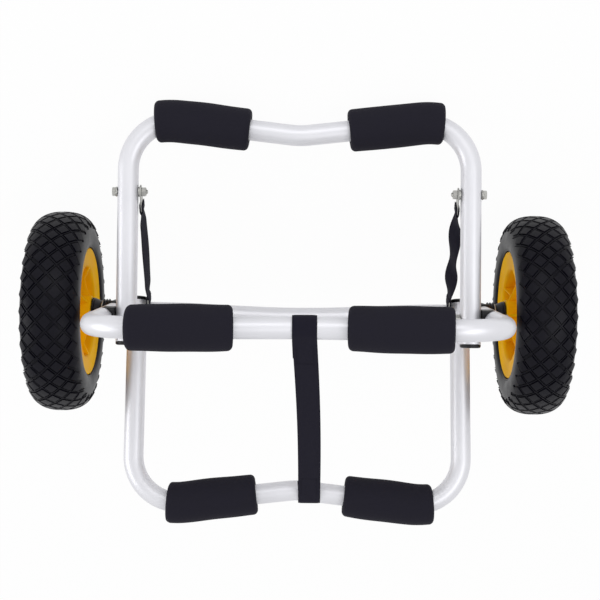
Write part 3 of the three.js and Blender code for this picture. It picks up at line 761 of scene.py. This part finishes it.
STRAP_BOLT_REACH = 151.5
STRAP_BOLT_PLACE = stand_frame @ moved(z=STRAP_BOLT_REACH)
HINGE_PLACE = main_frame @ moved(z=HINGE_REACH)
OUTER_FACE = FOLD_HALF + TUBE_RADIUS + GAP
TAB_THICK = 1.5
NUT_FACE = TAB_FACE - TAB_THICK - GAP
M8, M6 = (4, 13), (3, 10)
HINGE_NUT, HINGE_TIP, STRAP_NUT, STRAP_TIP = 7.2, 2.0, 5.4, 1.5
for name, side in SIDES.items():
    hinge, tab = HINGE_PLACE @ along_x(side), STRAP_BOLT_PLACE @ along_x(side)
    bolt("hinge_screw_" + name, hinge, *M8, MAIN_HALF + TUBE_RADIUS + GAP, 5.3,
         INNER_FACE - HINGE_NUT - HINGE_TIP, "hinge_bolt_" + name)
    nut("hinge_screw_nut_" + name, hinge, *M8, INNER_FACE, HINGE_NUT, "hinge_nut_" + name)
    bolt("strap_screw_" + name, tab, *M6, OUTER_FACE + WASHER + GAP, 4,
         NUT_FACE - STRAP_NUT - STRAP_TIP, "strap_bolt_" + name)
    nut("strap_screw_nut_" + name, tab, *M6, NUT_FACE, STRAP_NUT, "strap_nut_" + name)
    for label, start, node in (("outer", OUTER_FACE, "strap"), ("inner", TAB_FACE + GAP, "tab")):
        loop = soft_ring(3.35, 6, start, start + WASHER, 0.35)
        dress(turned(f"{label}_ring_{name}", loop, tab), f"{node}_washer_{name}")

# %% [markdown]
# A strap is a flat band that follows a route. At each point of the route the band has a width
# direction, so it can lie flat, wrap a bar or twist. Its UV map counts millimetres, which keeps
# the weave square.


# %% A band along a route
def band(name, route, widths, width, thick, columns=8):
    """A closed flat band of a route's points and the unit vectors across it, in millimetres."""
    points, uvs, faces = [], [], []
    length, rows = 0.0, len(route)
    for i, (spot, across_way) in enumerate(zip(route, widths)):
        ahead = (route[min(i + 1, rows - 1)] - route[max(i - 1, 0)]).normalized()
        across_way = (across_way - ahead * across_way.dot(ahead)).normalized()
        up = ahead.cross(across_way)
        length += (spot - route[i - 1]).length if i else 0
        for level in (1, -1):
            for j in range(columns + 1):
                u = 2 * j / columns - 1
                edge = thick / 2 * (1 - 0.55 * abs(u) ** 8)
                points.append(spot + across_way * (u * width / 2) + up * (level * edge))
                uvs.append((u * width / 2 + width, length))
    ring = 2 * (columns + 1)
    loop = list(range(columns + 1)) + list(range(ring - 1, columns, -1))
    for base in range(0, (rows - 1) * ring, ring):
        for a, b in zip(loop, loop[1:] + loop[:1]):
            faces.append((base + a, base + b, base + ring + b, base + ring + a))
    for base in (0, (rows - 1) * ring):
        for a in range(base, base + columns):
            faces.append((a, a + 1, a + columns + 2, a + columns + 1))
    return outward(mesh_object(name, [p * MM for p in points], faces, uvs), weld=False)


# %% [markdown]
# Stitches hold every folded end. One stitch is a short thread, and Geometry Nodes repeat it
# along the rows.

# %% A tree that lays stitches along a line
sewing = Nodes("stitch_rows", spacing="Float", thread="Float")
spots = sewing.make("CurveToPoints", {
    "Curve": sewing.wires["Geometry"], "Length": sewing.wires["spacing"]}, {"mode": "LENGTH"})
stitch = sewing.make("MeshUVSphere", {
    "Segments": 8, "Rings": 6, "Radius": sewing.wires["thread"]})
stitch = sewing.make("Transform", {"Geometry": stitch, "Scale": (1.0, 1.0, 3.2)})
sewing.deliver(sewing.make("InstanceOnPoints", {
    "Points": spots, "Instance": stitch, "Rotation": spots.beside("Rotation")}))


def stitches(rows, place, spacing=3.0, thread=0.28):
    sizes = {"spacing": spacing * MM, "thread": thread * MM}
    return [sewing.run(line_object("row", row), place, **sizes) for row in rows]


# %% [markdown]
# The centre strap stops the arm from folding open. It is sewn round the main bar, runs tight
# over the outer side of both bars, and is sewn back on itself round the arm's bar. Its route is
# two arcs and their tangent.

# %% Centre strap
STRAP_WIDTH, STRAP_THICK, STRAP_DRIFT, STRAP_SAG = 27.5, 1.8, 2.2, 1.2
MAIN_SPOT, ARM_SPOT, WRAP = 7, 15.5, 1.72
TAIL_DROP, STITCH_REACH, THREAD_LIFT, STRAP_STEPS = 2.2, 9.5, 0.95, 42
LOOP_RADIUS = TUBE_RADIUS + 0.3 + STRAP_THICK / 2


def bar_spot(line, group, along):
    """A spot on a bar's centreline, in the axle frame."""
    return axle_frame.inverted() @ group @ (line.at(along)[0] * MM) / MM


def arc(centre, first, last):
    return [Vector((centre.x, centre.y + LOOP_RADIUS * cos(t), centre.z + LOOP_RADIUS * sin(t)))
            for t in np.linspace(first, last, STRAP_STEPS)]


from_bar = bar_spot(main_line, main_frame, MAIN_SPOT)
to_bar = bar_spot(arm_line, arm_frame, ARM_SPOT)
span = Vector((0, to_bar.y - from_bar.y, to_bar.z - from_bar.z))
outer_way = Vector((0, -span.z, span.y)).normalized()
outer_way *= copysign(1, outer_way.z)
start_turn = atan2(outer_way.z, outer_way.y)

way = 1 if span.y < 0 else -1
wrap_main = arc(from_bar, start_turn - way * WRAP * pi, start_turn)
wrap_arm = arc(to_bar, start_turn, start_turn + way * WRAP * pi)
run = [wrap_main[-1].lerp(wrap_arm[0], t) for t in np.linspace(0, 1, STRAP_STEPS)[1:-1]]
drop = outer_way * STRAP_SAG - Vector((STRAP_DRIFT, 0, 0))
sag = [p - drop * sin(pi * (i + 1) / (len(run) + 1)) for i, p in enumerate(run)]
steps = np.linspace(0, 1, 10)[1:]
tail_main = [wrap_main[0].lerp(run[4] - outer_way * TAIL_DROP, t) for t in steps]
tail_arm = [wrap_arm[-1].lerp(run[-5] - outer_way * TAIL_DROP, t) for t in steps]
route = tail_main[::-1] + wrap_main + sag + wrap_arm + tail_arm
belt = band("belt", route, [Vector((1, 0, 0))] * len(route), STRAP_WIDTH, STRAP_THICK, 10)
belt.data.transform(axle_frame)
rows = []
for ends in ((run[1], run[5]), (run[-2], run[-6])):
    near, far = [[spot + Vector((shift, 0, 0)) + outer_way * THREAD_LIFT
                  for shift in (-STITCH_REACH, STITCH_REACH)] for spot in ends]
    rows += [*zip(near, far), far]
free_run = ("rear_arm", axle_frame @ (run[2] * MM), axle_frame @ (run[-3] * MM))
centre_webbing = joined("centre_webbing", [belt, *stitches(rows, axle_frame)])
dress(centre_webbing, "centre_strap", 45, free_run)

# %% [markdown]
# The side straps stop the stand from swinging up. Each is sewn round a tab at both ends. The
# left one lies nearly edge on to the camera. The right one is twisted a little to and fro, which
# shows as two bulges.

# %% Side straps
bolt_spot = axle_frame.inverted() @ stand_frame @ Vector((0, 0, STRAP_BOLT_REACH * MM)) / MM
strap_reach = hypot(bolt_spot.y, bolt_spot.z)
strap_frame = axle_frame @ turn_x(atan2(-bolt_spot.y, bolt_spot.z))
TAB_REACH, SIDE_WIDTH, SIDE_THICK = 24, 20, 1.5
FOLD_BACK, FOLD_LENGTH, BLEND_START = 3, 12, 10
SIDE_TURNS = {"left": ((0, 0), (0.16, 13), (0.55, 17), (0.84, 14), (1, 0)),
              "right": ((0, 4), (0.26, 44), (0.46, 17), (0.74, 44), (1, 0))}
SIDE_BOW = {"left": 0.6, "right": -0.8}


def turn_at(keys, share):
    """The webbing's turn there, eased from key to key, in radians."""
    for (first, low), (last, high) in zip(keys, keys[1:]):
        if share <= last:
            ease = (1 - cos(pi * (share - first) / (last - first))) / 2
            return (low + (high - low) * ease) * DEGREES


def side_webbing(name, side):
    middle = side * (TAB_FACE - TAB_THICK / 2)
    low, high = TAB_REACH, strap_reach - TAB_REACH
    route, widths = [], []
    for share in np.linspace(0, 1, 90):
        turn = -side * turn_at(SIDE_TURNS[name], share)
        x = middle - side * SIDE_BOW[name] * sin(pi * share)
        route.append(Vector((x, 0, low + share * (high - low))))
        widths.append(Vector((sin(turn), cos(turn), 0)))
    parts = [band("run", route, widths, SIDE_WIDTH, SIDE_THICK)]
    rows = []
    for at, reach in ((low, -1), (high, 1)):
        for layer in (-1, 1):
            offset = layer * (TAB_THICK / 2 + GAP * 0.5 + SIDE_THICK / 2)
            fold = []
            for t in np.linspace(0.0, 1, 12):
                z = at - reach * FOLD_BACK + reach * FOLD_LENGTH * t
                fold.append(Vector((middle + offset * min(1, (t / 0.3)) ** 0.7, 0, z)))
            flat = [Vector((0, 1, 0))] * len(fold)
            parts.append(band("fold", fold, flat, SIDE_WIDTH, SIDE_THICK))
            x = middle + layer * (TAB_THICK / 2 + GAP * 0.5 + SIDE_THICK)
            for z in (1.5, 5.5):
                rows.append([Vector((x, y, at + reach * z)) for y in (-7.5, 7.5)])
    for part in parts:
        part.data.transform(strap_frame)
    parts += stitches(rows, strap_frame, 2.6, 0.24)
    start, end = [strap_frame @ (Vector((middle, 0, z)) * MM)
                  for z in (low + BLEND_START, high - BLEND_START)]
    webbing = joined("side_webbing_" + name, parts)
    dress(webbing, "side_strap_" + name, 45, ("stand", start, end))


for name, side in SIDES.items():
    side_webbing(name, side)

# %% [markdown]
# The tyre's section is a squared circle. One formula gives its surface at any angle round the
# section, for the carcass that is spun here and for the tread that is wrapped round it next.

# %% Tyre carcass
SECTION_HALF, SECTION_RISE, SECTION_FALL, SECTION_CENTRE = 35.7, 30.6, 24.0, 94.5
SQUARENESS, SHOULDER_ANGLE = 2.45, 113
TREAD_DEPTH, CROWN_RADIUS, ROLL_RADIUS = 1.9, 127, 39.8


def squared(c, s):
    """How far a squared circle reaches, from a cosine and a sine, as numbers or as wires."""
    return (abs(c) ** SQUARENESS + abs(s) ** SQUARENESS) ** (-1 / SQUARENESS)


def section(angle):
    """(radius, across) on the tyre's section at an angle from its crown."""
    c, s = cos(angle), sin(angle)
    reach, rise = squared(c, s), SECTION_RISE if c > 0 else SECTION_FALL
    return SECTION_CENTRE + rise * reach * c, SECTION_HALF * reach * s


def wheel_place(side):
    return axle_frame @ moved(side * WHEEL_MIDDLE) @ along_x(side)


SHOULDER = [section(a * DEGREES) for a in np.linspace(-SHOULDER_ANGLE, SHOULDER_ANGLE, 73)]
LIP = [(84.0, 33.2), (83.2, 33.6), (82.4, 33.1), (81.9, 32.0), (81.7, 29.0)]
BEAD = [(81.0, 28.2), (63.2, 26.4), (62.4, 25.6), (62.4, 21), (68, 21), (78, 24.5), (95, 29)]
INSIDE = [(112, 24), (118, 14), (119, 0), (118, -14), (112, -24)]
TYRE = SHOULDER + mirrored(LIP + BEAD, INSIDE)

# %% [markdown]
# The tread is a lattice of raised diamonds with a thin rib in each groove between them.
# Modelling it on the curved tyre would be slow. Instead one flat cell, a diamond and two ribs,
# is instanced on a flat lattice, and Set Position rolls the whole sheet round the tyre with the
# same section formula.

# %% One flat cell of the tread
ACROSS_PITCH, AROUND_COUNT, LATTICE_COLUMNS = 23.2, 34, 4
AROUND_PITCH = tau * CROWN_RADIUS / AROUND_COUNT
ROOT, DIAMOND_FOOT, DIAMOND_TOP, CUTS = -0.4, 2.7, 3.5, 3
RIB_FOOT, RIB_TOP, RIB_HEIGHT = 0.75, 0.42, TREAD_DEPTH * 0.62


def tread_cell():
    half_a, half_b = ACROSS_PITCH / 2, AROUND_PITCH / 2
    points, faces = [], []

    def patch(foot, top, cuts):
        """A sloped block: a top that is cut into faces, and its sides."""
        start, row = len(points), cuts + 1
        layer = (CUTS + 1) * row
        for corners in (foot, top):
            for i in range(CUTS + 1):
                for j in range(row):
                    u, v = i / CUTS, j / cuts
                    points.append([
                        (1 - u) * (1 - v) * a + u * (1 - v) * b + u * v * c + (1 - u) * v * d
                        for a, b, c, d in zip(*corners)])
        for i in range(CUTS):
            for j in range(cuts):
                k = start + layer + i * row + j
                faces.append((k, k + row, k + row + 1, k + 1))
        rim = [i * row for i in range(CUTS + 1)] + [CUTS * row + j for j in range(1, row)]
        rim += [i * row + cuts for i in range(CUTS - 1, -1, -1)] + list(range(cuts - 1, 0, -1))
        for a, b in zip(rim, rim[1:] + rim[:1]):
            faces.append((start + a, start + b, start + layer + b, start + layer + a))

    def diamond(inset, level):
        return [(-half_a + inset, 0, level), (0, -half_b + inset, level),
                (half_a - inset, 0, level), (0, half_b - inset, level)]

    patch(diamond(DIAMOND_FOOT, ROOT), diamond(DIAMOND_TOP, TREAD_DEPTH), CUTS)
    for side in (-1, 1):
        first, last = Vector((side * half_a, 0)), Vector((0, half_b))
        way = (last - first).normalized()
        normal = Vector((-way.y, way.x))
        layers = []
        for aside, level in ((normal * RIB_FOOT, ROOT), (normal * RIB_TOP, RIB_HEIGHT)):
            spots = first - aside, last - aside, last + aside, first + aside
            layers.append([(*spot, level) for spot in spots])
        patch(*layers, 1)
    return mesh_object("tread_cell", [Vector(p) * MM for p in points], faces)


# %% The tree that lays out the cells and rolls them round the tyre
SIZES = {"across_pitch": ACROSS_PITCH, "around_pitch": AROUND_PITCH,
         "section_half": SECTION_HALF, "section_rise": SECTION_RISE,
         "section_centre": SECTION_CENTRE, "crown_radius": CROWN_RADIUS, "roll_radius": ROLL_RADIUS}
lattice = Nodes("diamond_tread", rows="Int", columns="Int", **dict.fromkeys(SIZES, "Float"))
wires = lattice.wires
columns = wires["columns"]
index = lattice.make("InputIndex")
column, row = index % columns, (index / columns).floor()
odd_row, last_column = row % 2, column.math("GREATER_THAN", columns - 1.5)
lattice_x = (column - (columns - 1) * 0.5 + odd_row * 0.5) * wires["across_pitch"]
lattice_y = row * wires["around_pitch"] * 0.5
spot = Wire.make(lattice.tree, "ShaderNodeCombineXYZ", {0: lattice_x, 1: lattice_y})
cells_at = lattice.make("Points", {"Count": wires["rows"] * columns, "Position": spot})
sheet = lattice.make("InstanceOnPoints", {
    "Points": cells_at, "Instance": wires["Geometry"], "Selection": 1 - odd_row * last_column})
sheet = lattice.make("RealizeInstances", {"Geometry": sheet})
position = lattice.make("InputPosition")
flat_x = Wire.make(lattice.tree, "ShaderNodeSeparateXYZ", {0: position})
flat_y, flat_z = flat_x.beside(1), flat_x.beside(2)
angle = flat_x / wires["roll_radius"]
c, s = angle.cos(), angle.sin()
rolled_x = (wires["section_half"] + flat_z) * squared(c, s) * s
rolled_r = wires["section_centre"] + (wires["section_rise"] + flat_z) * squared(c, s) * c
turn = flat_y / wires["crown_radius"]
rolled = Wire.make(lattice.tree, "ShaderNodeCombineXYZ", {
    0: rolled_r * turn.cos(), 1: rolled_r * turn.sin(), 2: rolled_x})
wrapped = lattice.make("SetPosition", {"Geometry": sheet, "Position": rolled})
lattice.deliver(wrapped, flat=True)

for name, side in SIDES.items():
    carcass = smooth(turned("carcass", TYRE, wheel_place(side), 128), 60)
    sizes = {key: size * MM for key, size in SIZES.items()}
    sizes.update(rows=2 * AROUND_COUNT, columns=LATTICE_COLUMNS)
    tread = lattice.run(tread_cell(), wheel_place(side), **sizes)
    tyre = joined("diamond_tyre_" + name, [carcass, outward(tread)])
    dress(tyre, "tyre_" + name, 32)

# %% [markdown]
# The rim is one yellow moulding: a barrel with a flange at each edge, a web with five windows, a
# hub, and ribs that stiffen the web. The web is a polar grid with the windows left out, given
# its thickness by Solidify. Geometry Nodes turn one rib round the hub.

# %% The web of a rim
WINDOWS, WINDOW_INNER, WINDOW_OUTER, WINDOW_SHARE, WINDOW_ROUND = 5, 28, 51, 0.62, 0.055
WEB_INNER, WEB_OUTER, WEB_THICK, WEB_STEPS = 18, 59, 9, 120


def rim_web():
    radii = [WEB_INNER, 22, 25, WINDOW_INNER, 30, 33, 37, 42, 46, 49, WINDOW_OUTER, 54, 57,
             WEB_OUTER]
    points = [polar(r, tau * i / WEB_STEPS) * MM for r in radii for i in range(WEB_STEPS)]
    faces = []
    for ring in range(len(radii) - 1):
        middle = (radii[ring] + radii[ring + 1]) / 2
        here, after = ring * WEB_STEPS, (ring + 1) * WEB_STEPS
        edge = WINDOW_ROUND if middle < 30 or middle > 49 else 0.0
        for i in range(WEB_STEPS):
            place = ((i + 0.5) / WEB_STEPS * WINDOWS + 0.5) % 1 - 0.5
            beside = abs(place) >= WINDOW_SHARE / 2 - edge
            if beside or not WINDOW_INNER < middle < WINDOW_OUTER:
                j = (i + 1) % WEB_STEPS
                faces.append((here + i, here + j, after + j, after + i))
    web = mesh_object("web", points, faces)
    wall = web.modifiers.new("wall", "SOLIDIFY")
    wall.thickness, wall.offset = WEB_THICK * MM, 0
    return bevelled(web, 0.9, 2, 40)


# %% The ring tree, and the whole rim
around_hub = Nodes("ring_of_ribs", count="Int")
ribs = around_hub.make("Points", {"Count": around_hub.wires["count"]})
turn = around_hub.make("InputIndex") * tau / around_hub.wires["count"]
turn = Wire.make(around_hub.tree, "ShaderNodeCombineXYZ", {2: turn})
turn = Wire.make(around_hub.tree, "FunctionNodeEulerToRotation", {0: turn})
around_hub.deliver(around_hub.make("InstanceOnPoints", {
    "Points": ribs, "Instance": around_hub.wires["Geometry"], "Rotation": turn}))


def rib():
    stations = ((17.5, 33, 1.9), (30, 27, 1.7), (44, 23, 1.7), (59.5, 29, 1.9))
    corners = [Vector((reach, y, z)) * MM for reach, tall, wide in stations
               for z in (-tall, tall) for y in (-wide, wide)]
    faces = [(0, 1, 3, 2), (12, 14, 15, 13)]
    for a in (0, 4, 8):
        faces += [(a, a + 4, a + 5, a + 1), (a + 1, a + 5, a + 7, a + 3),
                  (a + 3, a + 7, a + 6, a + 2), (a + 2, a + 6, a + 4, a)]
    piece = mesh_object("rib", corners, faces)
    piece.data.transform(Matrix.Rotation(pi / WINDOWS, 4, "Z"))
    return bevelled(piece, 0.8, 2)


HALF_BARREL = [(57.2, 4), (57.4, 25), (58.0, 27.6), (59.6, 29.2), (62, 29.7), (77.4, 31.2),
               (78.8, 32.0), (80.2, 32.1), (81, 31.3), (81, 29.6), (80.4, 28.8), (62.4, 27.0),
               (61.7, 26.3)]
HALF_HUB = [(10.3, 35.6), (18.6, 35.6), (19.8, 34.6), (20, 33.4), (20.6, 4)]
BUSH = [(BORE, 18), (9.9, 18), (9.9, 36.2), (16.6, 36.2), (17.4, 37.0), (17.4, 38.0), (16.4, 39.0),
        (BORE, 39.0)]


for name, side in SIDES.items():
    place = wheel_place(side)
    web = rim_web()
    web.data.transform(place)
    shells = [outward(web), outward(around_hub.run(rib(), place, count=WINDOWS)),
              turned("barrel", mirrored(HALF_BARREL, [(61.7, 0)]), place, 128),
              turned("hub", mirrored(HALF_HUB), place, 64)]
    dress(joined("yellow_rim_" + name, shells), "rim_" + name, 35)
    for label, flip in (("outer", Matrix()), ("inner", turn_x(pi))):
        dress(turned(f"hub_bush_{label}_{name}", BUSH, place @ flip), f"{label}_bush_{name}")

# %% [markdown]
# The studio is a white floor and a white world. The floor shows white to the camera and to
# gloss, and keeps a faint shadow. Two tall soft boxes, one far to the left and one right of the
# camera, draw the bright bands on each leg. A third lights the bars from the stand's side.

# %% Floor, world and lamps
FLOOR_HALF, FLOOR_DROP, FLOOR_SEEN, WORLD_LIGHT = 8, 0.6, 0.96, 0.68


def seen_share(tree):
    """1 for camera rays, glossy ones and those through glass."""
    rays = Wire.make(tree, "ShaderNodeLightPath", output="Is Camera Ray")
    rays = rays + rays.beside("Is Glossy Ray") + rays.beside("Is Transmission Ray")
    return rays.clamp(0.0, 1.0)


corners = [(FLOOR_HALF * x, FLOOR_HALF * y, 0) for x, y in ((-1, -1), (1, -1), (1, 1), (-1, 1))]
floor_mesh = mesh_object("floor", corners, [(0, 1, 2, 3)])
floor_mesh.data.transform(moved(z=-FLOOR_DROP))
paint = Finish("floor_white", specular=0.0)
paint.shader.inputs["Base Color"].default_value = (0.9, 0.9, 0.9, 1)
paint.shader.inputs["Roughness"].default_value = 1.0
white = Wire.make(paint.tree, "ShaderNodeEmission", {"Color": (1, 1, 1, 1), "Strength": 1.0})
mixed = Wire.make(paint.tree, "ShaderNodeMixShader", {
    0: seen_share(paint.tree) * FLOOR_SEEN, 1: Wire(paint.shader.outputs[0]), 2: white})
paint.tree.links.new(mixed.socket, paint.tree.nodes["Material Output"].inputs["Surface"])
floor_mesh.data.materials.append(paint.material)

world = bpy.data.worlds.new("studio")
bpy.context.scene.world = world
world.use_nodes = True
sky = world.node_tree.nodes["Background"].inputs
sky["Color"].default_value = (1, 1, 1, 1)
strength = WORLD_LIGHT + seen_share(world.node_tree) * (1 - WORLD_LIGHT)
world.node_tree.links.new(strength.socket, sky["Strength"])


def soft_box(name, x, y, z, width, height, power):
    """A lamp in the axle frame, in metres, that faces the middle of the cart."""
    lamp = bpy.data.lights.new(name, "AREA")
    lamp.shape, lamp.size, lamp.size_y, lamp.energy = "RECTANGLE", width, height, power
    spot = axle_frame @ Vector((x, y, z))
    aim = (axle_frame @ Vector((0, 0, 0.05))) - spot
    turn = aim.to_track_quat("-Z", "Y").to_matrix().to_4x4()
    new_object(name, lamp).matrix_world = Matrix.Translation(spot) @ turn


soft_box("soft_box_left", -2.1, -0.35, 0.75, 0.8, 1.5, 12)
soft_box("soft_box_right", 1.05, -0.35, 1.75, 0.8, 1.5, 8)
soft_box("soft_box_far", 0.0, 1.3, 2.0, 1.6, 0.9, 7)
